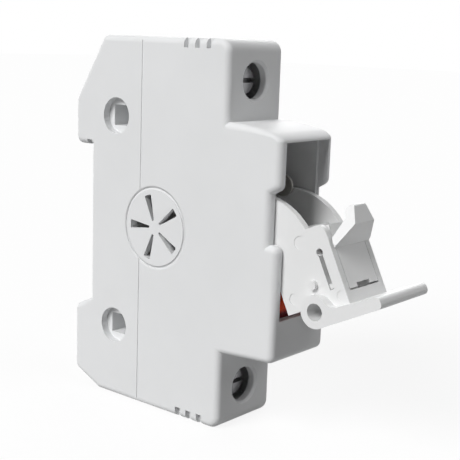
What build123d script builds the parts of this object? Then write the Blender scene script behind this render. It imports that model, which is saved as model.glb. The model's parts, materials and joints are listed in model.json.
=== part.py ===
from build123d import *
import os
from math import sqrt

# Fuse holder for a 35 mm rail, one module wide, with its fuse carrier swung open.
# Every profile is drawn in the side frame: x is the depth in front of the rail seat,
# y is the height above the rail's centre line, z runs towards the deep moulding's side.
# All sizes are millimetres and degrees.
SIDE = Plane(origin=(0, 0, 0), x_dir=(0, -1, 0), z_dir=(-1, 0, 0))

# Fits
GAP = 0.35  # running gap between pieces that move past each other
FIT = 0.15  # gap round a pin or a seated piece

# Rail
RAIL_HEIGHT = 35.0
RAIL_FLANGE = 1.0
RAIL_RELIEF = 0.15

# Housing outline
WIDTH = 18.0
SIDE_WALL = 2.0
WALL = 1.5
TOP = 41.3
BOTTOM = -40.7
BLOCK_FRONT = 40.0
NOSE_FRONT = 53.8
NOSE_TOP = 24.6
NOSE_BOTTOM = -23.7
NOSE_DRAFT = 0.85
CLAW_DEPTH = 5.25
UPPER_CLAW = 16.7
UPPER_SHOULDER = 27.0
TOP_BACK = 3.7
LOWER_CLAW = -19.3
LOWER_CLAW_BACK = -21.6
LOWER_SHOULDER = -37.1
BOTTOM_BACK = 2.8
CORNER_R = 1.6
FRONT_CORNER_R = 2.6
EDGE_R = 1.4

# Nose opening
SILL = -14.2
SILL_SHELF = 1.2
LINTEL = 21.8
LINTEL_WALL = 1.0
THUMB_BACK = 51.5
THUMB_TOP = 12.8
THUMB_CORNER = 11.5
THUMB_BOTTOM = 1.35
THUMB_R = 1.6
RABBET = 0.5
RABBET_WIDTH = 2.6

# Compartments
REAR_WALL = 11.2
LIGHTENING_TOP = 14.0
LIGHTENING_BOTTOM = -15.5

# Marks on the sides
SEAM_DEPTH = 15.8
SEAM_WIDTH = 0.35
SEAM_CUT = 0.15
VENT_DEPTH = 20.5
VENT_HEIGHT = 0.4
VENT_R = 8.9
VENT_GROOVE = 0.5
VENT_SLOTS = 5
VENT_INNER = 1.6
VENT_OUTER = 7.3
VENT_INNER_WIDTH = 0.8
VENT_OUTER_WIDTH = 2.9
SNAP_DEPTH = 8.1
SNAP_TOP = 23.85
SNAP_BOTTOM = -24.0
SNAP_R = 4.0
SNAP_RECESS = 1.8
SNAP_POST = 3.9
SNAP_POST_END = -2.5
NOTCH_FIRST = 28.6
NOTCH_PITCH = 3.1
NOTCH_COUNT = 3
NOTCH_WIDTH = 1.5
NOTCH_TOP_HEIGHT = 2.0
NOTCH_BOTTOM_HEIGHT = 2.2
NOTCH_CUT = 1.2

# Terminals
TERMINAL_TOP = 32.95
TERMINAL_BOTTOM = -32.5
TERMINAL_HOLE_R = 3.85
TERMINAL_RIM = 0.5
TERMINAL_WALL = 2.0
TERMINAL_ROOM_OUT = 5.0
SCREW_HEAD_R = 3.3
SCREW_HEAD = 2.6
SCREW_BEVEL = 0.5
SCREW_R = 2.4
SCREW_SLOT = 1.0
SCREW_SLOT_CUT = 1.2
CAGE_HALF = 5.2
CAGE_SIDE = 1.2
CAGE_FRONT = 2.2
CAGE_BACK = 1.4
CAGE_LENGTH = 7.0
CAGE_TRAVEL = 2.8
CAGE_PLAY = 1.85
WIRE_ROOM = 6.4
WIRE_HOLE_R = 3.2
WIRE_FUNNEL = 0.9

# Contacts
STRIP = 1.2
STRIP_HALF = 3.7
STRIP_DEPTH = 26.0
STRIP_END = 4.5
JAW = 0.55
JAW_SIDE_GAP = 0.4
JAW_PINCH = 0.4
UPPER_JAW_LOW = 8.6
UPPER_JAW_FRONT = 43.0
JAW_EAR_DEPTH = 44.9
JAW_EAR_R = 2.3
LOWER_JAW_LOW = -17.4
LOWER_JAW_HIGH = -12.6
LOWER_JAW_BASE = 45.0
LOWER_JAW_BACK = 30.0
LOWER_STRIP = -20.8
JAW_SPRING = 0.5
JAW_SPRING_HEIGHT = 2.8
JAW_SPRING_REACH = 11.0

# Fuse carrier, drawn closed and measured from its hinge: x is forward, y is up
HINGE_DEPTH = 47.0
HINGE_HEIGHT = -4.24
OPEN_ANGLE = 63.6
PIN_R = 1.5
PIN_SEAT = 1.1
CARRIER_WALL = 1.5
CARRIER_ARC_R = 15.3
CARRIER_BOSS_R = 4.2
CARRIER_LOWER = 4.2
CARRIER_FRONT = 11.3
CARRIER_END = 19.3
EAR_BACK = -3.4
EAR_R = 2.0
CRADLE_BACK = -4.4
CRADLE_THICK = 1.2
CRADLE_LOW = -3.0
CRADLE_HIGH = 12.4
HUB_FORWARD = 12.31
HUB_UP = 12.07
HUB_R = 3.3
HUB_HOLE_R = 1.75
HUB_BLEND_R = 2.0
FLAP_ROOT = 3.2
FLAP_TIP_THICK = 2.3
FLAP_TIP = 27.2
FLAP_MARGIN = 0.4
SLOT_UP = 16.4
SLOT_END = 9.25
SLOT_WIDTH = 1.0
SLOT_HOLE_R = 0.75
NUB_FORWARD = 7.2
NUB_UP = 12.7
NUB_R = 0.9
NUB_HEIGHT = 0.9
MARK_CUT = 0.12
MARKS = ((-1.35, 12.6, 1.4), (8.65, 6.9, 1.2), (10.95, 17.95, 1.0))

# Sliding gate with its thumb grip, in the carrier's own frame
GATE_THICK = 0.9
GATE_BACK = -2.85
GATE_END = 10.1
GATE_TRAVEL = 5.3
GATE_NOTCH = 0.8
GATE_NOTCH_HALF = 2.3
GUIDE_ARM = 1.0
GUIDE_LENGTH = 1.0
GRIP_BACK = -0.1
GRIP_FOOT = 1.9
GRIP_BASE_HALF = 6.1
GRIP_KNEE_BACK = (-3.0, 22.6)
GRIP_KNEE_FRONT = (-1.2, 24.1)
GRIP_KNEE_HALF = 3.4
GRIP_TIP_BACK = (-4.8, 22.6)
GRIP_TIP_FRONT = (-5.05, 24.35)
GRIP_TIP_R = 0.5

# Rail clip and its spring
CLIP_THICK = 2.4
CLIP_GRIP = 1.2
CLIP_NOSE_HALF = 3.4
CLIP_NOSE_LENGTH = 4.6
CLIP_BEVEL = 1.2
CLIP_BODY_END = -37.0
CLIP_END = -39.2
CLIP_TAB_HALF = 3.2
CLIP_SLOT_HALF = 2.0
CLIP_SLOT_HEIGHT = 1.3
CLIP_SLOT_UP = 0.9
CLIP_LEDGE_TOP = -23.0
CLIP_LEDGE = 1.2
CLIP_LEDGE_REACH = 3.4
CLIP_LEDGE_HALF = 2.3
SPRING_FOOT = -35.8
SPRING_WIRE = 0.5
SPRING_TURNS = 3
SPRING_HALF = 1.2
SPRING_BEND_R = 0.4

# Red insert behind the sill
INSERT_HEIGHT = 4.6
INSERT_FRONT_HEIGHT = 3.6

HALF = WIDTH / 2
INNER = HALF - SIDE_WALL
CARRIER_HALF = INNER - GAP
CARRIER_INNER = CARRIER_HALF - CARRIER_WALL
FLAP_HALF = HALF - FLAP_MARGIN
FLAP_FRONT = HUB_FORWARD + HUB_R
FLAP_BACK = FLAP_FRONT - FLAP_ROOT
GATE_INNER = CARRIER_END - GATE_THICK
GATE_HALF = CARRIER_INNER - FIT
GRIP_BASE = CARRIER_END + GAP
GUIDE_HALF = SLOT_WIDTH / 2 - FIT
GUIDE_START = SLOT_END - FIT - GUIDE_LENGTH
SLOT_HOLE = GUIDE_START - GATE_TRAVEL - GAP - SLOT_HOLE_R
JAW_HALF = CARRIER_INNER - JAW_SIDE_GAP
UPPER_JAW_HIGH = HINGE_HEIGHT + GATE_INNER - GAP
JAW_EAR_HEIGHT = UPPER_JAW_HIGH - JAW_EAR_R
STRIP_FRONT = STRIP_DEPTH + STRIP
SCREW_TIP = STRIP_FRONT + FIT
CAGE_FLOOR = STRIP_DEPTH - WIRE_ROOM
CAGE_HEAD = STRIP_FRONT + CAGE_PLAY + CAGE_FRONT
SCREW_SEAT = CAGE_HEAD + CAGE_TRAVEL + GAP
ROOM_FRONT = BLOCK_FRONT - TERMINAL_WALL
ROOM_BACK = CAGE_FLOOR - CAGE_BACK - GAP
CLIP_FRONT = -RAIL_FLANGE - GAP
CLIP_BACK = CLIP_FRONT - CLIP_THICK
CLIP_HALF = INNER - GAP
CLIP_TOP = -RAIL_HEIGHT / 2 + CLIP_GRIP
LOWER_SPRING_FRONT = LOWER_JAW_BASE + STRIP + FIT + JAW_SPRING
SHELF_BACK = LOWER_SPRING_FRONT + GAP


def block(depth, height, across):
    """Box between low and high values along each axis of the side frame."""
    sizes = [high - low for low, high in (depth, height, across)]
    middle = [(high + low) / 2 for low, high in (depth, height, across)]
    return Pos(*middle) * Box(*sizes)


def slab(face, low, high):
    """Side profile extruded across the width from low to high."""
    return extrude(Pos(0, 0, low) * face, amount=high - low)


def polygon(*points):
    """Closed straight-sided profile."""
    return make_face(Polyline(*points, close=True))


def rod(depth, height, radius, low, high):
    """Round bar across the width."""
    return slab(Pos(depth, height) * Circle(radius), low, high)


def forward_rod(height, radius, low, high):
    """Round bar along the depth, in the middle of the width."""
    return Pos(low, height, 0) * Rot(0, 90, 0) * extrude(Circle(radius), amount=high - low)


def outline():
    """Side outline of the whole housing, with the thumb recess in its front edge."""
    back = -CLAW_DEPTH
    corners = [
        (back, UPPER_CLAW, CORNER_R),
        (0, UPPER_CLAW, 0),
        (0, LOWER_CLAW, 0),
        (back, LOWER_CLAW_BACK, CORNER_R),
        (back, LOWER_SHOULDER, CORNER_R),
        (BOTTOM_BACK, BOTTOM, CORNER_R),
        (BLOCK_FRONT, BOTTOM, FRONT_CORNER_R),
        (BLOCK_FRONT, NOSE_BOTTOM, 0),
        (NOSE_FRONT, NOSE_BOTTOM + NOSE_DRAFT, CORNER_R),
        (NOSE_FRONT, THUMB_BOTTOM, THUMB_R),
        (THUMB_BACK, THUMB_BOTTOM, 0),
        (THUMB_BACK, THUMB_CORNER, 0),
        (NOSE_FRONT, THUMB_TOP, THUMB_R),
        (NOSE_FRONT, NOSE_TOP, FRONT_CORNER_R),
        (BLOCK_FRONT, NOSE_TOP, 0),
        (BLOCK_FRONT, TOP, FRONT_CORNER_R),
        (TOP_BACK, TOP, CORNER_R),
        (back, UPPER_SHOULDER, CORNER_R),
    ]
    points = [corner[:2] for corner in corners]
    radii = [corner[2] for corner in corners]
    return make_face(FilletPolyline(*points, radius=radii, close=True))


def rail_slot():
    """Slot for the rail's upper flange, and relief under both hooks so that the seat stops short of them."""
    across = (-WIDTH, WIDTH)
    high = RAIL_HEIGHT / 2 + GAP
    slot = block((-RAIL_FLANGE - GAP, RAIL_RELIEF), (UPPER_CLAW - WALL, high), across)
    return slot + block((-GAP, RAIL_RELIEF), (LOWER_CLAW, CLIP_TOP + GAP), across)


def clip_channel():
    """Guide for the rail clip and the pocket for its spring, open at the bottom."""
    guide = block((CLIP_BACK - GAP, CLIP_FRONT + GAP), (BOTTOM - WALL, LOWER_CLAW + WALL), (-INNER, INNER))
    reach = CLIP_FRONT + CLIP_LEDGE_REACH + GAP
    half = CLIP_LEDGE_HALF + GAP
    pocket = block((CLIP_FRONT, reach), (SPRING_FOOT - FIT, CLIP_LEDGE_TOP + GAP), (-INNER, half))
    return guide + pocket


def vent(low, high):
    """Ring of wedge slots through a side wall."""
    wedge = polygon(
        (VENT_INNER, -VENT_INNER_WIDTH / 2),
        (VENT_OUTER, -VENT_OUTER_WIDTH / 2),
        (VENT_OUTER, VENT_OUTER_WIDTH / 2),
        (VENT_INNER, VENT_INNER_WIDTH / 2),
    )
    turn = 360 / VENT_SLOTS
    slots = Sketch() + [Rot(0, 0, 180 + turn * step) * wedge for step in range(VENT_SLOTS)]
    return slab(Pos(VENT_DEPTH, VENT_HEIGHT) * slots, low, high)


def vent_groove(low, high):
    """Shallow ring groove round the vent."""
    ring = Circle(VENT_R) - Circle(VENT_R - VENT_GROOVE)
    return slab(Pos(VENT_DEPTH, VENT_HEIGHT) * ring, low, high)


def terminal_room(height, out):
    """Space for one terminal: room for the cage and screw, driver hole, wire entry and strip slot."""
    inner_end = NOSE_TOP if out > 0 else NOSE_BOTTOM
    outer_end = height + out * TERMINAL_ROOM_OUT
    low, high = sorted((inner_end, outer_end))
    room = block((ROOM_BACK, ROOM_FRONT), (low, high), (-INNER, CAGE_HALF + GAP))
    hole = forward_rod(height, TERMINAL_HOLE_R, ROOM_FRONT - GAP, BLOCK_FRONT + WALL)
    rim = Cone(TERMINAL_HOLE_R, TERMINAL_HOLE_R + 2 * TERMINAL_RIM, 2 * TERMINAL_RIM)
    hole += Pos(BLOCK_FRONT, height, 0) * Rot(0, 90, 0) * rim
    mouth = TOP if out > 0 else BOTTOM
    wire_depth = (CAGE_FLOOR + STRIP_DEPTH) / 2
    entry = extrude(Circle(WIRE_HOLE_R), amount=abs(mouth - height))
    funnel = Pos(0, 0, abs(mouth - height) - WALL / 2)
    funnel *= Cone(WIRE_HOLE_R, WIRE_HOLE_R + WIRE_FUNNEL, WALL)
    wire = Pos(wire_depth, height, 0) * Rot(-90 * out, 0, 0) * (entry + funnel)
    low, high = sorted((inner_end - out * 2 * WALL, inner_end + out * WALL))
    slot = block((STRIP_DEPTH - GAP, STRIP_FRONT + GAP), (low, high), (-INNER, STRIP_HALF + GAP))
    return room + hole + wire + slot


def fuse_room():
    """Main space for the carrier and the contact jaws, open at the front of the nose."""
    across = (-INNER, INNER)
    high = NOSE_TOP - WALL
    low = NOSE_BOTTOM + NOSE_DRAFT + WALL
    main = block((REAR_WALL, NOSE_FRONT - WALL), (low, high), across)
    behind_lintel = block((BLOCK_FRONT, NOSE_FRONT - LINTEL_WALL), (SILL, high), across)
    mouth = block((BLOCK_FRONT, NOSE_FRONT + WALL), (SILL, LINTEL), across)
    return main + behind_lintel + mouth


def housing_body():
    """Deep moulding: the seen side wall and every wall between the compartments."""
    body = slab(outline(), -INNER, HALF)
    body = fillet(body.faces().sort_by(Axis.Z)[-1].outer_wire().edges(), EDGE_R)
    body -= fuse_room()
    body -= block((WALL, REAR_WALL - WALL), (LIGHTENING_BOTTOM, LIGHTENING_TOP), (-INNER, INNER))
    body -= terminal_room(TERMINAL_TOP, 1)
    body -= terminal_room(TERMINAL_BOTTOM, -1)
    body -= clip_channel()
    body -= rail_slot()
    body += block((SHELF_BACK, NOSE_FRONT - WALL), (SILL - SILL_SHELF, SILL), (-INNER, INNER))
    body -= rod(HINGE_DEPTH, HINGE_HEIGHT, PIN_R + FIT, INNER, INNER + PIN_SEAT + FIT)
    body -= side_marks()
    return body


def side_marks():
    """Recesses on the seen side: seam, vent, snap windows and edge notches."""
    seam = block((SEAM_DEPTH, SEAM_DEPTH + SEAM_WIDTH), (BOTTOM, TOP), (HALF - SEAM_CUT, HALF))
    seam -= rod(VENT_DEPTH, VENT_HEIGHT, VENT_R, 0, WIDTH)
    cuts = seam + vent(INNER - FIT, WIDTH) + vent_groove(HALF - SEAM_CUT, HALF)
    for height in (SNAP_TOP, SNAP_BOTTOM):
        cuts += rod(SNAP_DEPTH, height, SNAP_R, HALF - SNAP_RECESS, WIDTH)
        hole = SNAP_POST / 2 + GAP
        depth = (SNAP_DEPTH - hole, SNAP_DEPTH + hole)
        cuts += block(depth, (height - hole, height + hole), (-INNER, WIDTH))
    for step in range(NOTCH_COUNT):
        middle = NOTCH_FIRST + step * NOTCH_PITCH
        depth = (middle - NOTCH_WIDTH / 2, middle + NOTCH_WIDTH / 2)
        across = (HALF - NOTCH_CUT, WIDTH)
        cuts += block(depth, (TOP - NOTCH_TOP_HEIGHT, TOP + WALL), across)
        cuts += block(depth, (BOTTOM - WALL, BOTTOM + NOTCH_BOTTOM_HEIGHT), across)
    return cuts


def housing_cover():
    """Flat moulding that closes the other side, with its two snap posts."""
    cover = slab(outline(), -HALF, -INNER)
    cover = fillet(cover.faces().sort_by(Axis.Z)[0].outer_wire().edges(), EDGE_R)
    cover -= rail_slot()
    cover -= vent(-WIDTH, -INNER + FIT)
    rabbet_depth = (NOSE_FRONT - RABBET_WIDTH, NOSE_FRONT + WALL)
    cover -= block(rabbet_depth, (SILL, LINTEL), (-INNER - RABBET, -INNER))
    cover -= rod(HINGE_DEPTH, HINGE_HEIGHT, PIN_R + FIT, -INNER - PIN_SEAT - FIT, -INNER)
    half = SNAP_POST / 2
    for height in (SNAP_TOP, SNAP_BOTTOM):
        depth = (SNAP_DEPTH - half, SNAP_DEPTH + half)
        cover += block(depth, (height - half, height + half), (-INNER, -SNAP_POST_END))
    return cover


def contact_arms(arm_outline, root, tip):
    """Pair of sprung jaw arms that lean together half way along."""
    middle = JAW_HALF - JAW / 2
    bend = ThreePointArc((root, middle), ((root + tip) / 2, middle - JAW_PINCH), (tip, middle))
    strip = trace(bend, JAW)
    reach = TOP - BOTTOM
    arm = Pos(0, reach / 2, 0) * Rot(90, 0, 0) * extrude(strip, amount=reach)
    arms = arm + mirror(arm, Plane.XY)
    return arms & slab(arm_outline, -WIDTH, WIDTH)


def upper_contact():
    """Strip from the upper terminal with a jaw that opens forwards."""
    tip = JAW_EAR_DEPTH + JAW_EAR_R
    low, high = UPPER_JAW_LOW, UPPER_JAW_HIGH
    face = polygon((STRIP_DEPTH, low), (UPPER_JAW_FRONT, low), (UPPER_JAW_FRONT, high), (STRIP_DEPTH, high))
    face += Pos(JAW_EAR_DEPTH, JAW_EAR_HEIGHT) * Circle(JAW_EAR_R)
    arms = contact_arms(face, STRIP_DEPTH, tip)
    web = block((STRIP_DEPTH, STRIP_FRONT), (low, high), (-JAW_HALF, JAW_HALF))
    end = TERMINAL_TOP + STRIP_END
    strip = block((STRIP_DEPTH, STRIP_FRONT), (high, end), (-STRIP_HALF, STRIP_HALF))
    return arms + web + strip


def lower_contact():
    """Strip from the lower terminal with a jaw that opens backwards."""
    low, high = LOWER_JAW_LOW, LOWER_JAW_HIGH
    base_front = LOWER_JAW_BASE + STRIP
    face = polygon((LOWER_JAW_BACK, low), (base_front, low), (base_front, high), (LOWER_JAW_BACK, high))
    arms = contact_arms(face, LOWER_JAW_BACK, base_front)
    web = block((LOWER_JAW_BASE, base_front), (low, high), (-JAW_HALF, JAW_HALF))
    rise = block((LOWER_JAW_BASE, base_front), (LOWER_STRIP, low), (-STRIP_HALF, STRIP_HALF))
    run = block((STRIP_DEPTH, base_front), (LOWER_STRIP, LOWER_STRIP + STRIP), (-STRIP_HALF, STRIP_HALF))
    end = TERMINAL_BOTTOM - STRIP_END
    drop = block((STRIP_DEPTH, STRIP_FRONT), (end, LOWER_STRIP + STRIP), (-STRIP_HALF, STRIP_HALF))
    return arms + web + rise + run + drop


def jaw_spring(back, front, middle, opens):
    """Steel clip round a jaw that keeps its arms together; opens is 1 forwards, -1 backwards."""
    inner = JAW_HALF + FIT
    outer = inner + JAW_SPRING
    height = (middle - JAW_SPRING_HEIGHT / 2, middle + JAW_SPRING_HEIGHT / 2)
    solid = block((back, front), height, (-outer, outer))
    if opens > 0:
        room = (back + JAW_SPRING, front + JAW_SPRING)
    else:
        room = (back - JAW_SPRING, front - JAW_SPRING)
    return solid - block(room, height, (-inner, inner))


def upper_jaw_spring():
    """Steel clip on the upper jaw."""
    back = STRIP_DEPTH - FIT - JAW_SPRING
    middle = UPPER_JAW_LOW + JAW_SPRING_HEIGHT
    return jaw_spring(back, back + JAW_SPRING_REACH, middle, 1)


def lower_jaw_spring():
    """Steel clip on the lower jaw."""
    middle = (LOWER_JAW_LOW + LOWER_JAW_HIGH) / 2
    return jaw_spring(LOWER_SPRING_FRONT - JAW_SPRING_REACH, LOWER_SPRING_FRONT, middle, -1)


def terminal_cage(height):
    """Clamp cage that draws the wire up against the strip; shown fully open."""
    across = (-CAGE_HALF, CAGE_HALF)
    along = (height - CAGE_LENGTH / 2, height + CAGE_LENGTH / 2)
    inner = CAGE_HALF - CAGE_SIDE
    cage = block((CAGE_FLOOR - CAGE_BACK, CAGE_HEAD), along, across)
    cage -= block((CAGE_FLOOR, CAGE_HEAD - CAGE_FRONT), along, (-inner, inner))
    cage -= forward_rod(height, SCREW_R + FIT, CAGE_FLOOR, BLOCK_FRONT)
    return cage


def terminal_screw(height):
    """Slotted clamp screw, turning in the cage against the strip."""
    head = forward_rod(height, SCREW_HEAD_R, SCREW_SEAT, SCREW_SEAT + SCREW_HEAD)
    head = chamfer(head.faces().sort_by(Axis.X)[-1].edges(), SCREW_BEVEL)
    screw = head + forward_rod(height, SCREW_R, SCREW_TIP, SCREW_SEAT)
    face = SCREW_SEAT + SCREW_HEAD
    slot = (height - SCREW_SLOT / 2, height + SCREW_SLOT / 2)
    return screw - block((face - SCREW_SLOT_CUT, face), slot, (-SCREW_HEAD_R, SCREW_HEAD_R))


def carrier_wall_face():
    """Side wall of the carrier: round back, hinge boss, lower step and rounded ear."""
    arc_top = (EAR_BACK, sqrt(CARRIER_ARC_R**2 - EAR_BACK**2))
    arc_low = (-sqrt(CARRIER_ARC_R**2 - CRADLE_LOW**2), CRADLE_LOW)
    arc = ThreePointArc(arc_top, Vector(-CARRIER_ARC_R, 0).rotate(Axis.Z, -35), arc_low)
    rest = Polyline(
        arc_low,
        (0, -CARRIER_BOSS_R),
        (CARRIER_BOSS_R, 0),
        (CARRIER_BOSS_R, CARRIER_LOWER),
        (CARRIER_FRONT, CARRIER_LOWER),
        (CARRIER_FRONT, HUB_UP),
        (FLAP_BACK + WALL, HUB_UP),
        (FLAP_BACK + WALL, CARRIER_END),
        (EAR_BACK, CARRIER_END),
        arc_top,
    )
    face = make_face([arc, rest])
    ear = face.vertices().sort_by_distance((EAR_BACK, CARRIER_END, 0))[0]
    return fillet(ear, EAR_R) + Circle(CARRIER_BOSS_R)


def flap_and_hub():
    """Full-width pull flap with a rounded tip, blended into the tubular hub."""
    face = polygon(
        (FLAP_BACK, HUB_UP),
        (FLAP_FRONT - FLAP_TIP_THICK, FLAP_TIP),
        (FLAP_FRONT, FLAP_TIP),
        (FLAP_FRONT, HUB_UP),
    )
    tips = face.vertices().sort_by(Axis.Y)[-2:]
    face = fillet(tips, FLAP_TIP_THICK / 2 - FIT)
    face += Pos(HUB_FORWARD, HUB_UP) * Circle(HUB_R)
    meeting = face.vertices().sort_by_distance((FLAP_BACK, HUB_UP + HUB_R, 0))[0]
    return slab(fillet(meeting, HUB_BLEND_R), -FLAP_HALF, FLAP_HALF)


def fuse_carrier():
    """Swinging lever: two walls, fuse cradle, pull flap and hub, in its closed attitude."""
    wall = carrier_wall_face()
    carrier = slab(wall, CARRIER_INNER, CARRIER_HALF) + slab(wall, -CARRIER_HALF, -CARRIER_INNER)
    across = (-CARRIER_INNER, CARRIER_INNER)
    carrier += block((CRADLE_BACK, CRADLE_BACK + CRADLE_THICK), (CRADLE_LOW, CRADLE_HIGH), across)
    carrier += block((GATE_END + GAP, CARRIER_FRONT), (CARRIER_LOWER, CARRIER_END), across)
    carrier += block((CARRIER_FRONT, FLAP_BACK + WALL), (HUB_UP, CARRIER_END), across)
    carrier += flap_and_hub()
    carrier -= rod(HUB_FORWARD, HUB_UP, HUB_HOLE_R, -WIDTH, WIDTH)
    carrier -= rod(0, 0, PIN_R + FIT, -WIDTH, WIDTH)
    slot_height = (SLOT_UP - SLOT_WIDTH / 2, SLOT_UP + SLOT_WIDTH / 2)
    for walls in ((CARRIER_INNER, CARRIER_HALF), (-CARRIER_HALF, -CARRIER_INNER)):
        carrier -= block((SLOT_HOLE, SLOT_END), slot_height, walls)
        carrier -= rod(SLOT_HOLE, SLOT_UP, SLOT_HOLE_R, *walls)
    carrier += rod(NUB_FORWARD, NUB_UP, NUB_R, CARRIER_HALF, CARRIER_HALF + NUB_HEIGHT)
    for forward, up, radius in MARKS:
        carrier -= rod(forward, up, radius, CARRIER_HALF - MARK_CUT, CARRIER_HALF)
    return carrier


def fuse_gate():
    """Gate that slides across the carrier's end, with a thumb grip and a guide for each slot."""
    across = (-GATE_HALF, GATE_HALF)
    height = (GATE_INNER, CARRIER_END)
    gate = block((GATE_BACK, GATE_END), height, across)
    gate -= block((GATE_END - GATE_NOTCH, GATE_END), height, (-GATE_NOTCH_HALF, GATE_NOTCH_HALF))
    gate += block((GRIP_BACK, GRIP_FOOT), (GATE_INNER, GRIP_BASE), across)
    gate += thumb_grip()
    along = (GUIDE_START, GUIDE_START + GUIDE_LENGTH)
    low = SLOT_UP - GUIDE_HALF
    for side in (-1, 1):
        root = side * (GATE_HALF - GUIDE_ARM)
        gate += block(along, (low, GATE_INNER), sorted((root, side * GATE_HALF)))
        gate += block(along, (low, SLOT_UP + GUIDE_HALF), sorted((root, side * (CARRIER_HALF - FIT))))
    return gate


def thumb_grip():
    """Bent grip whose flat flanks close in from its base to a rounded tip."""
    profile = polygon(
        (GRIP_BACK, GRIP_BASE),
        GRIP_KNEE_BACK,
        GRIP_TIP_BACK,
        GRIP_TIP_FRONT,
        GRIP_KNEE_FRONT,
        (GRIP_FOOT, GRIP_BASE),
    )
    half = slab(profile, 0, GRIP_BASE_HALF)
    knee = Vector(*GRIP_KNEE_BACK, GRIP_KNEE_HALF)
    along = Vector(*GRIP_KNEE_FRONT, GRIP_KNEE_HALF) - knee
    down = Vector((GRIP_BACK + GRIP_FOOT) / 2, GRIP_BASE, GRIP_BASE_HALF) - knee
    half = split(half, bisect_by=Plane(knee, x_dir=along, z_dir=along.cross(down)), keep=Keep.TOP)
    grip = half + mirror(half, Plane.XY)
    tip = grip.faces().sort_by(Axis.X)[0]
    return fillet(tip.edges().filter_by(Axis.Z), GRIP_TIP_R)


def rail_clip():
    """Spring-loaded slide that hooks the rail's lower flange, with a slotted release tab."""
    shoulder = CLIP_TOP - CLIP_NOSE_LENGTH
    depth = (CLIP_BACK, CLIP_FRONT)
    clip = block(depth, (CLIP_BODY_END, shoulder), (-CLIP_HALF, CLIP_HALF))
    clip += block(depth, (CLIP_END, CLIP_BODY_END), (-CLIP_TAB_HALF, CLIP_TAB_HALF))
    nose = polygon(
        (CLIP_BACK, shoulder),
        (CLIP_FRONT, shoulder),
        (CLIP_FRONT, CLIP_TOP),
        (CLIP_FRONT - CLIP_BEVEL, CLIP_TOP),
        (CLIP_BACK, CLIP_TOP - CLIP_BEVEL),
    )
    clip += slab(nose, -CLIP_NOSE_HALF, CLIP_NOSE_HALF)
    ledge = (CLIP_FRONT, CLIP_FRONT + CLIP_LEDGE_REACH)
    height = (CLIP_LEDGE_TOP - CLIP_LEDGE, CLIP_LEDGE_TOP)
    clip += block(ledge, height, (-CLIP_LEDGE_HALF, CLIP_LEDGE_HALF))
    slot_low = CLIP_END + CLIP_SLOT_UP
    slot = (slot_low, slot_low + CLIP_SLOT_HEIGHT)
    return clip - block(depth, slot, (-CLIP_SLOT_HALF, CLIP_SLOT_HALF))


def rail_clip_spring():
    """Folded wire spring under the clip's ledge."""
    high = CLIP_LEDGE_TOP - CLIP_LEDGE - FIT
    low = SPRING_FOOT
    step = (high - low - 2 * SPRING_WIRE) / (2 * SPRING_TURNS)
    points = []
    for bend in range(2 * SPRING_TURNS + 1):
        side = SPRING_HALF if bend % 2 else -SPRING_HALF
        points.append((side, low + SPRING_WIRE + bend * step))
    fold = trace(FilletPolyline(*points, radius=SPRING_BEND_R), SPRING_WIRE)
    middle = CLIP_FRONT + CLIP_LEDGE_REACH / 2 + GAP / 2
    return Pos(middle, 0, 0) * slab(fold, -SPRING_HALF, SPRING_HALF)


def red_insert():
    """Red block that stands on the sill's shelf, clear of the open carrier."""
    front = NOSE_FRONT - WALL - FIT
    face = polygon(
        (SHELF_BACK, SILL),
        (front, SILL),
        (front, SILL + INSERT_FRONT_HEIGHT),
        (SHELF_BACK, SILL + INSERT_HEIGHT),
    )
    reach = (0, CARRIER_FRONT + GAP)
    swing = block(reach, (CARRIER_LOWER - GAP, CARRIER_END), (-INNER, INNER))
    return slab(face, -CARRIER_HALF, CARRIER_HALF) - opened(swing)


def carrier_pin():
    """Steel pin that the carrier swings on, seated in both side walls."""
    return rod(HINGE_DEPTH, HINGE_HEIGHT, PIN_R, -INNER - PIN_SEAT, INNER + PIN_SEAT)


def opened(shape):
    """Carrier piece swung from its closed attitude to the open one."""
    return Pos(HINGE_DEPTH, HINGE_HEIGHT, 0) * Rot(0, 0, -OPEN_ANGLE) * shape


PIECES = {
    "housing_body": housing_body(),
    "housing_cover": housing_cover(),
    "carrier_pin": carrier_pin(),
    "fuse_carrier": opened(fuse_carrier()),
    "fuse_gate": opened(fuse_gate()),
    "upper_contact": upper_contact(),
    "lower_contact": lower_contact(),
    "upper_jaw_spring": upper_jaw_spring(),
    "lower_jaw_spring": lower_jaw_spring(),
    "upper_terminal_cage": terminal_cage(TERMINAL_TOP),
    "lower_terminal_cage": terminal_cage(TERMINAL_BOTTOM),
    "upper_terminal_screw": terminal_screw(TERMINAL_TOP),
    "lower_terminal_screw": terminal_screw(TERMINAL_BOTTOM),
    "rail_clip": rail_clip(),
    "rail_clip_spring": rail_clip_spring(),
    "red_insert": red_insert(),
}

os.makedirs("parts", exist_ok=True)
for node, piece in PIECES.items():
    export_step(SIDE.location * piece, f"parts/{node}.step")
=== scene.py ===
import json
from itertools import product
from math import cos, pi, radians, sin

import bmesh
import bpy
from mathutils import Matrix, Vector


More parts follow.
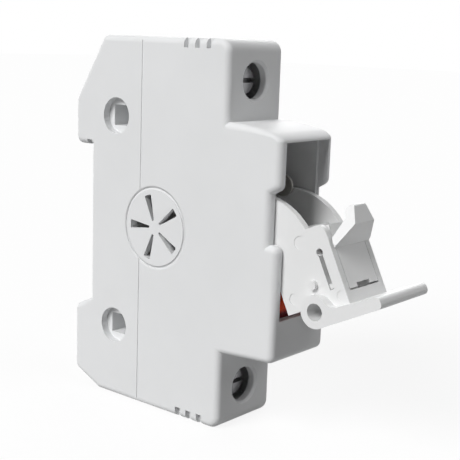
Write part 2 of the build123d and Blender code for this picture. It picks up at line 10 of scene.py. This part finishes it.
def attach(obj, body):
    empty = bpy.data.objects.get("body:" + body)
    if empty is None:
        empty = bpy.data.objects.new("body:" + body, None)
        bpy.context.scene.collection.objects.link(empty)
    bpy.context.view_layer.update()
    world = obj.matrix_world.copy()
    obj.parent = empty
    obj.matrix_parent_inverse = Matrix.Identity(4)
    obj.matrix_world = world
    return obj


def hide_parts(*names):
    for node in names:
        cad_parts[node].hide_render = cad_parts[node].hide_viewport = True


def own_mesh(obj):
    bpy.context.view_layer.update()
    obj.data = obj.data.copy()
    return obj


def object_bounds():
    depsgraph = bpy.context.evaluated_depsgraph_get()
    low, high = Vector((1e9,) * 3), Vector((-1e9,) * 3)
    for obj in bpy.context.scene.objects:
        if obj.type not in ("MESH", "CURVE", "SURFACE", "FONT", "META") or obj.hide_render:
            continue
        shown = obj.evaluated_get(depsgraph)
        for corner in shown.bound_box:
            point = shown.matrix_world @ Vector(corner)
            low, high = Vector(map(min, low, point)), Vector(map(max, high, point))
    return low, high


# Looks of a rail-mounted fuse holder with its carrier swung open. Lengths are metres and angles
# are degrees. Depths are measured from the rail seat towards the front, which is -Y.

WHITE = (1.0, 1.0, 1.0, 1.0)
EVEN = (1.0, 1.0, 1.0)
BOTH_SIDES = (-1, 1)

# Camera: the picture's size and the focal length in pixels, the sensor in millimetres, and the
# view, which looks at AIM from DISTANCE and is then moved to the right and up
IMAGE_SIZE = 460
FOCAL_PIXELS = 997.7
SENSOR = 36.0
AZIMUTH = -50.33
ELEVATION = 10.80
ROLL = 1.99
DISTANCE = 0.21768
AIM = (0.0, -0.030, 0.0)
AIM_RIGHT = 0.00337
AIM_UP = 0.00025
CLIP_START = 0.01

# Lamps: brightness that each gives to a white surface that faces it, where it shines from, and
# how wide it looks
KEY_LEVEL = 0.92
KEY_FROM = (-0.78, 0.12, 0.62)
KEY_SPREAD = 32.0
FILL_LEVEL = 0.18
FILL_FROM = (0.25, -0.68, 0.69)
FILL_SPREAD = 40.0
BACK_LEVEL = 0.45
BACK_FROM = (0.85, 0.45, 0.28)
BACK_SPREAD = 50.0

# World: its light on the object, and its brightness where it is seen
WORLD_LEVEL = 0.05
WORLD_WHITE = 1.0

# Floor: its tone where it is seen, its tone for the light that it throws back, and the share of
# plain white in what is seen
FLOOR_SIZE = 6.0
FLOOR_TONE = 1.0
FLOOR_BOUNCE = 0.38
FLOOR_GLOW = 0.88

# Vent: y and z of its centre, and the direction of the first slot
VENT_CENTRE = (-0.0205, 0.0004)
VENT_SLOTS = 5
VENT_FIRST = 180.0

# Slots, at their inner and outer ends: distance from the vent's centre, half width in the wall,
# and half width that the cheeks leave open
SLOT_ENDS = (0.0016, 0.0073)
SLOT_IN_WALL = (0.0004, 0.00145)
SLOT_OPEN = (0.00026, 0.00096)
SLOT_CORNER = 0.0003
CORNER_STEPS = 4

# Cheeks: how far they reach into the wall round the slot, and where they start and end in X
CHEEK_SEAT = 0.00005
CHEEK_ACROSS = (0.0079, 0.00898)

# Soft ring groove round the vent
GROOVE_RADIUS = 0.0088
GROOVE_HALF = 0.00046
GROOVE_DEPTH = 0.0002

# Nose roof: the depth past which it may move, the depths between which it curves, the heights of
# its top and underside, and how far its top rises at the root and drops on the way to the front.
# A point moves by its share of the height between underside and top, up to ROOF_REACH.
ROOF_ROOT = 0.0385
ROOF_BACK = 0.0404
ROOF_FRONT = 0.0538
ROOF_TOP = 0.0246
ROOF_UNDER = 0.02185
ROOF_RAISE = 0.00025
ROOF_DROP = 0.00175
ROOF_POWER = 2.0
ROOF_STEPS = 14
ROOF_REACH = 1.001

# Housing meshes: angle of a sharp edge, weight of large faces in the normals, distance at which
# points are joined, and distance at which a cut takes a point that is there already
SHARP_ANGLE = 35.0
FACE_WEIGHT = 100
WELD = 1e-7
SNAP = 2e-6

# Noise in all finishes: the values between which tone and gloss run, and its detail
NOISE_LOW = 0.3
NOISE_HIGH = 0.7
CLOUD_SCALE = 55.0
CLOUD_DETAIL = 3.0
FINE_DETAIL = 2.0
FINE_STRENGTH = 0.6

# Plastics
HOUSING_LIGHT = (0.800, 0.806, 0.812, 1.0)
HOUSING_DARK = (0.770, 0.777, 0.782, 1.0)
HOUSING_ROUGH = (0.42, 0.56)
CARRIER_LIGHT = (0.818, 0.821, 0.821, 1.0)
CARRIER_DARK = (0.788, 0.791, 0.791, 1.0)
CARRIER_ROUGH = (0.32, 0.46)
GRAIN_SCALE = 5200.0
GRAIN_DEPTH = 0.00001
PLASTIC_SPECULAR = 0.2

# Red insert, whose tone runs from dark to light between two heights: painted shade on its lower
# part
RED_LIGHT = (0.92, 0.075, 0.014, 1.0)
RED_SHADED_TONE = (0.16, 0.018, 0.022, 1.0)
RED_ROUGH = (0.20, 0.34)
RED_SHADE_HEIGHTS = (-0.0138, -0.0118)
RED_SPECULAR = 0.05

# Metals
TIN_LIGHT = (0.66, 0.65, 0.62, 1.0)
TIN_DARK = (0.52, 0.51, 0.49, 1.0)
TIN_ROUGH = (0.30, 0.46)
ZINC_LIGHT = (0.34, 0.34, 0.35, 1.0)
ZINC_DARK = (0.22, 0.22, 0.23, 1.0)
ZINC_ROUGH = (0.26, 0.44)
BRUSH_SCALE = 900.0
BRUSH_STRETCH = (1.0, 1.0, 0.06)
BRUSH_DEPTH = 0.000008
METAL_SPECULAR = 0.5


def add_object(name, data):
    """New object in the scene."""
    item = bpy.data.objects.new(name, data)
    bpy.context.scene.collection.objects.link(item)
    return item


def add_node(tree, kind, **values):
    """New shader node with its input sockets set by name."""
    node = tree.nodes.new(kind)
    for name, value in values.items():
        node.inputs[name].default_value = value
    return node


def add_math(tree, operation, first, second=None):
    """Result of a math node on a linked value and, where one is given, a number."""
    node = add_node(tree, "ShaderNodeMath")
    node.operation = operation
    tree.links.new(first, node.inputs[0])
    if second is not None:
        node.inputs[1].default_value = second
    return node.outputs["Value"]


def map_range(tree, source, start=(0.0, 1.0), end=(0.0, 1.0)):
    """Map range node that takes the source value from the start limits to the end limits."""
    limits = {"From Min": start[0], "From Max": start[1], "To Min": end[0], "To Max": end[1]}
    node = add_node(tree, "ShaderNodeMapRange", **limits)
    tree.links.new(source, node.inputs["Value"])
    return node


def noise(tree, scale, detail, stretch=EVEN):
    """Noise fixed to the object's own metres, stretched along an axis for brushed metal."""
    place = add_node(tree, "ShaderNodeTexCoord")
    mapping = add_node(tree, "ShaderNodeMapping", Scale=stretch)
    pattern = add_node(tree, "ShaderNodeTexNoise", Scale=scale, Detail=detail)
    tree.links.new(place.outputs["Object"], mapping.inputs["Vector"])
    tree.links.new(mapping.outputs["Vector"], pattern.inputs["Vector"])
    return pattern.outputs["Fac"]


def ramp(tree, source, low, high):
    """Colour that runs between two tones with the source value."""
    node = add_node(tree, "ShaderNodeValToRGB")
    first, last = node.color_ramp.elements
    first.position, first.color = NOISE_LOW, low
    last.position, last.color = NOISE_HIGH, high
    tree.links.new(source, node.inputs["Fac"])
    return node.outputs["Color"]


def height_fade(tree, low, high):
    """Number that rises from 0 to 1 between two heights."""
    place = add_node(tree, "ShaderNodeTexCoord")
    split = add_node(tree, "ShaderNodeSeparateXYZ")
    tree.links.new(place.outputs["Object"], split.inputs["Vector"])
    return map_range(tree, split.outputs["Z"], start=(low, high)).outputs["Result"]


def ring_groove(tree):
    """Normal that dips in a soft ring round the vent."""
    y, z = VENT_CENTRE
    place = add_node(tree, "ShaderNodeTexCoord")
    flat = add_node(tree, "ShaderNodeMapping", Location=(0.0, -y, -z), Scale=(0.0, 1.0, 1.0))
    radius = add_node(tree, "ShaderNodeVectorMath")
    radius.operation = "LENGTH"
    tree.links.new(place.outputs["Object"], flat.inputs["Vector"])
    tree.links.new(flat.outputs["Vector"], radius.inputs[0])
    offset = add_math(tree, "SUBTRACT", radius.outputs["Value"], GROOVE_RADIUS)
    away = add_math(tree, "ABSOLUTE", offset)
    rise = map_range(tree, away, start=(0.0, GROOVE_HALF))
    rise.interpolation_type = "SMOOTHSTEP"
    bump = add_node(tree, "ShaderNodeBump", Strength=1.0, Distance=GROOVE_DEPTH)
    tree.links.new(rise.outputs["Result"], bump.inputs["Height"])
    return bump.outputs["Normal"]


def surface(
    name,
    tones,
    rough,
    grain,
    depth,
    specular=PLASTIC_SPECULAR,
    metallic=0.0,
    fade=None,
    groove=False,
):
    """Surface whose gloss and relief vary as the real finish does; a fade makes its tone painted
    shade.
    """
    material = bpy.data.materials.new(name)
    material.use_nodes = True
    tree = material.node_tree
    shader = tree.nodes["Principled BSDF"]
    shader.inputs["Metallic"].default_value = metallic
    shader.inputs["Specular IOR Level"].default_value = specular
    # with a fade the tone is painted shade, darker lower down; without one it varies at random
    clouds = height_fade(tree, *fade) if fade else noise(tree, CLOUD_SCALE, CLOUD_DETAIL)
    scale, stretch = grain
    fine = noise(tree, scale, FINE_DETAIL, stretch)
    gloss = map_range(tree, fine, start=(NOISE_LOW, NOISE_HIGH), end=rough)
    bump = add_node(tree, "ShaderNodeBump", Strength=FINE_STRENGTH, Distance=depth)
    tree.links.new(ramp(tree, clouds, *tones), shader.inputs["Base Color"])
    tree.links.new(gloss.outputs["Result"], shader.inputs["Roughness"])
    tree.links.new(fine, bump.inputs["Height"])
    if groove:
        tree.links.new(ring_groove(tree), bump.inputs["Normal"])
    tree.links.new(bump.outputs["Normal"], shader.inputs["Normal"])
    return material


def make_materials():
    """One material for each finish in the record."""
    moulded = {"grain": (GRAIN_SCALE, EVEN), "depth": GRAIN_DEPTH}
    brushed = {
        "grain": (BRUSH_SCALE, BRUSH_STRETCH),
        "depth": BRUSH_DEPTH,
        "specular": METAL_SPECULAR,
        "metallic": 1.0,
    }
    housing_tones = (HOUSING_DARK, HOUSING_LIGHT)
    carrier_tones = (CARRIER_DARK, CARRIER_LIGHT)
    red_tones = (RED_SHADED_TONE, RED_LIGHT)
    # painted shade: the red insert is darker towards the bottom
    red_finish = {"specular": RED_SPECULAR, "fade": RED_SHADE_HEIGHTS}
    return {
        "housing_plastic": surface("housing", housing_tones, HOUSING_ROUGH, **moulded, groove=True),
        "carrier_plastic": surface("carrier", carrier_tones, CARRIER_ROUGH, **moulded),
        "red_plastic": surface("red", red_tones, RED_ROUGH, **moulded, **red_finish),
        "contact_metal": surface("tin", (TIN_DARK, TIN_LIGHT), TIN_ROUGH, **brushed),
        "steel": surface("zinc", (ZINC_DARK, ZINC_LIGHT), ZINC_ROUGH, **brushed),
    }


def finish_nodes(frame, materials):
    """Gives each node the finish that its material slot names."""
    for piece in frame["record"]["subparts"]:
        mesh = frame["nodes"][piece["node"]].data
        mesh.materials.clear()
        mesh.materials.append(materials[piece["material_slot"]])


def curve_roof(shape):
    """Lets the nose's roof curve down towards the front, with its underside where it was."""
    span = ROOF_FRONT - ROOF_BACK
    for step in range(ROOF_STEPS):
        depth = ROOF_BACK + span * step / ROOF_STEPS
        bmesh.ops.bisect_plane(
            shape,
            geom=[*shape.verts, *shape.edges, *shape.faces],
            dist=SNAP,
            plane_co=(0.0, -depth, 0.0),
            plane_no=(0.0, 1.0, 0.0),
        )
    for vert in shape.verts:
        share = max(0.0, (-vert.co.y - ROOF_BACK) / span)
        height = (vert.co.z - ROOF_UNDER) / (ROOF_TOP - ROOF_UNDER)
        if -vert.co.y > ROOF_ROOT and 0 < height < ROOF_REACH:
            vert.co.z += height * (ROOF_RAISE - ROOF_DROP * share**ROOF_POWER)


def make_housing(frame, node):
    """Housing piece with the curved nose roof, which stands for its node."""
    mesh = frame["nodes"][node].data.copy()
    mesh.name = f"{node}_curved"
    if "custom_normal" in mesh.attributes:
        mesh.attributes.remove(mesh.attributes["custom_normal"])
    shape = bmesh.new()
    shape.from_mesh(mesh)
    bmesh.ops.remove_doubles(shape, verts=shape.verts, dist=WELD)
    curve_roof(shape)
    for face in shape.faces:
        face.smooth = True
    shape.to_mesh(mesh)
    shape.free()
    mesh.set_sharp_from_angle(angle=radians(SHARP_ANGLE))
    piece = add_object(mesh.name, mesh)
    weighted = piece.modifiers.new("weighted", "WEIGHTED_NORMAL")
    weighted.weight = FACE_WEIGHT
    weighted.keep_sharp = True
    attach(piece, "housing")
    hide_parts(node)


def cheek_outline(side):
    """Section of one cheek: distances from the vent's centre and offsets from the slot's middle."""
    inner, outer = SLOT_ENDS
    wall_inner, wall_outer = SLOT_IN_WALL
    open_inner, open_outer = SLOT_OPEN
    points = [(inner - CHEEK_SEAT, wall_inner + CHEEK_SEAT), (inner - CHEEK_SEAT, open_inner)]
    for step in range(CORNER_STEPS + 1):
        angle = pi / 2 * (1 - step / CORNER_STEPS)
        along = outer - SLOT_CORNER + SLOT_CORNER * cos(angle)
        points.append((along, open_outer - SLOT_CORNER + SLOT_CORNER * sin(angle)))
    points.append((outer + CHEEK_SEAT, open_outer - SLOT_CORNER))
    points.append((outer + CHEEK_SEAT, wall_outer + CHEEK_SEAT))
    return [(along, side * offset) for along, offset in points]


def slot_place(turn, along, offset):
    """Y and Z of a point in a vent slot, by the slot's direction in radians."""
    y, z = VENT_CENTRE
    return (
        y - along * cos(turn) + offset * sin(turn),
        z + along * sin(turn) + offset * cos(turn),
    )


def make_vent_cheeks(material):
    """Cheeks that narrow the vent slots in both side walls."""
    shape = bmesh.new()
    for wall, slot, side in product(BOTH_SIDES, range(VENT_SLOTS), BOTH_SIDES):
        turn = radians(VENT_FIRST + slot * 360 / VENT_SLOTS)
        places = [slot_place(turn, *point) for point in cheek_outline(side)]
        low, high = (
            [shape.verts.new((wall * across, *place)) for place in places]
            for across in CHEEK_ACROSS
        )
        shape.faces.new(low)
        shape.faces.new(high)
        for index in range(len(places)):
            shape.faces.new((low[index - 1], low[index], high[index], high[index - 1]))
    bmesh.ops.recalc_face_normals(shape, faces=shape.faces)
    mesh = bpy.data.meshes.new("vent_cheeks")
    shape.to_mesh(mesh)
    shape.free()
    mesh.materials.append(material)
    cheeks = add_object("vent_cheeks", mesh)
    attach(cheeks, "housing")


def make_spring(frame):
    """Copy of the rail clip's spring with its own mesh, which stands for its node."""
    mesh = frame["nodes"]["rail_clip_spring"].data.copy()
    piece = add_object("rail_clip_spring_folding", mesh)
    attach(piece, "housing")
    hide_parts("rail_clip_spring")
    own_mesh(piece)


def make_camera():
    """Camera at the photograph's viewpoint."""
    azimuth, elevation, roll = (radians(angle) for angle in (AZIMUTH, ELEVATION, ROLL))
    back = Vector((sin(azimuth) * cos(elevation), -cos(azimuth) * cos(elevation), sin(elevation)))
    level_right = Vector((cos(azimuth), sin(azimuth), 0.0))
    level_up = back.cross(level_right)
    right = cos(roll) * level_right + sin(roll) * level_up
    up = cos(roll) * level_up - sin(roll) * level_right
    eye = Vector(AIM) + right * AIM_RIGHT + up * AIM_UP + back * DISTANCE
    data = bpy.data.cameras.new("camera")
    data.sensor_width = SENSOR
    data.lens = FOCAL_PIXELS / IMAGE_SIZE * SENSOR
    data.clip_start = CLIP_START
    camera = add_object("camera", data)
    turn = Matrix((right, up, back)).transposed().to_4x4()
    camera.matrix_world = Matrix.Translation(eye) @ turn
    bpy.context.scene.camera = camera


def add_lamp(name, direction, width, level):
    """Broad distant lamp, set by the brightness that it gives to a white surface that faces it."""
    data = bpy.data.lights.new(name, "SUN")
    data.angle = radians(width)
    data.energy = level * pi
    lamp = add_object(name, data)
    lamp.rotation_euler = Vector(direction).to_track_quat("Z", "Y").to_euler()


def seen_directly(tree):
    """1 for rays from the camera, a mirror-like surface or a clear one, 0 for the rest."""
    path = add_node(tree, "ShaderNodeLightPath")
    total = path.outputs["Is Camera Ray"]
    for name in ("Is Glossy Ray", "Is Transmission Ray"):
        either = add_node(tree, "ShaderNodeMath")
        either.operation = "MAXIMUM"
        tree.links.new(total, either.inputs[0])
        tree.links.new(path.outputs[name], either.inputs[1])
        total = either.outputs["Value"]
    return total


def make_world():
    """White where it is seen, and a gentle level of light from all round."""
    world = bpy.data.worlds.new("world")
    world.use_nodes = True
    bpy.context.scene.world = world
    tree = world.node_tree
    background = tree.nodes["Background"]
    background.inputs["Color"].default_value = WHITE
    level = map_range(tree, seen_directly(tree), end=(WORLD_LEVEL, WORLD_WHITE))
    tree.links.new(level.outputs["Result"], background.inputs["Strength"])


def floor_material():
    """Matt surface that takes a soft shadow and looks white where it is seen."""
    material = bpy.data.materials.new("floor")
    material.use_nodes = True
    tree = material.node_tree
    tree.nodes.remove(tree.nodes["Principled BSDF"])
    seen = seen_directly(tree)
    tone = map_range(tree, seen, end=(FLOOR_BOUNCE, FLOOR_TONE))
    matt = add_node(tree, "ShaderNodeBsdfDiffuse")
    glow = add_node(tree, "ShaderNodeEmission", Color=WHITE, Strength=1.0)
    mix = add_node(tree, "ShaderNodeMixShader")
    tree.links.new(tone.outputs["Result"], matt.inputs["Color"])
    tree.links.new(add_math(tree, "MULTIPLY", seen, FLOOR_GLOW), mix.inputs["Fac"])
    tree.links.new(matt.outputs["BSDF"], mix.inputs[1])
    tree.links.new(glow.outputs["Emission"], mix.inputs[2])
    tree.links.new(mix.outputs["Shader"], tree.nodes["Material Output"].inputs["Surface"])
    return material


def make_floor(height):
    """Pale floor under the object."""
    half = FLOOR_SIZE / 2
    corners = ((-half, -half), (half, -half), (half, half), (-half, half))
    mesh = bpy.data.meshes.new("floor")
    mesh.from_pydata([(*corner, height) for corner in corners], [], [(0, 1, 2, 3)])
    mesh.materials.append(floor_material())
    floor = add_object("floor", mesh)


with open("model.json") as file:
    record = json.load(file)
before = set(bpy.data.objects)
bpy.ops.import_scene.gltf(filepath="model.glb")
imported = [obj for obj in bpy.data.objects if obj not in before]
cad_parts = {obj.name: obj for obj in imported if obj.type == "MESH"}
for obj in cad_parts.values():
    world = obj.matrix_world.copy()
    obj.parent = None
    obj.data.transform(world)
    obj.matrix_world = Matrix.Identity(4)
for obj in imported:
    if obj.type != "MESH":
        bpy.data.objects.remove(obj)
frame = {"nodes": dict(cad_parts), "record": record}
cad_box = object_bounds()
materials = make_materials()
finish_nodes(frame, materials)
for node in ("housing_body", "housing_cover"):
    make_housing(frame, node)
make_vent_cheeks(materials["housing_plastic"])
make_spring(frame)
make_camera()
make_world()
add_lamp("key", KEY_FROM, KEY_SPREAD, KEY_LEVEL)
add_lamp("fill", FILL_FROM, FILL_SPREAD, FILL_LEVEL)
add_lamp("back", BACK_FROM, BACK_SPREAD, BACK_LEVEL)
make_floor(cad_box[0][2])
bpy.context.scene.view_settings.view_transform = "Standard"
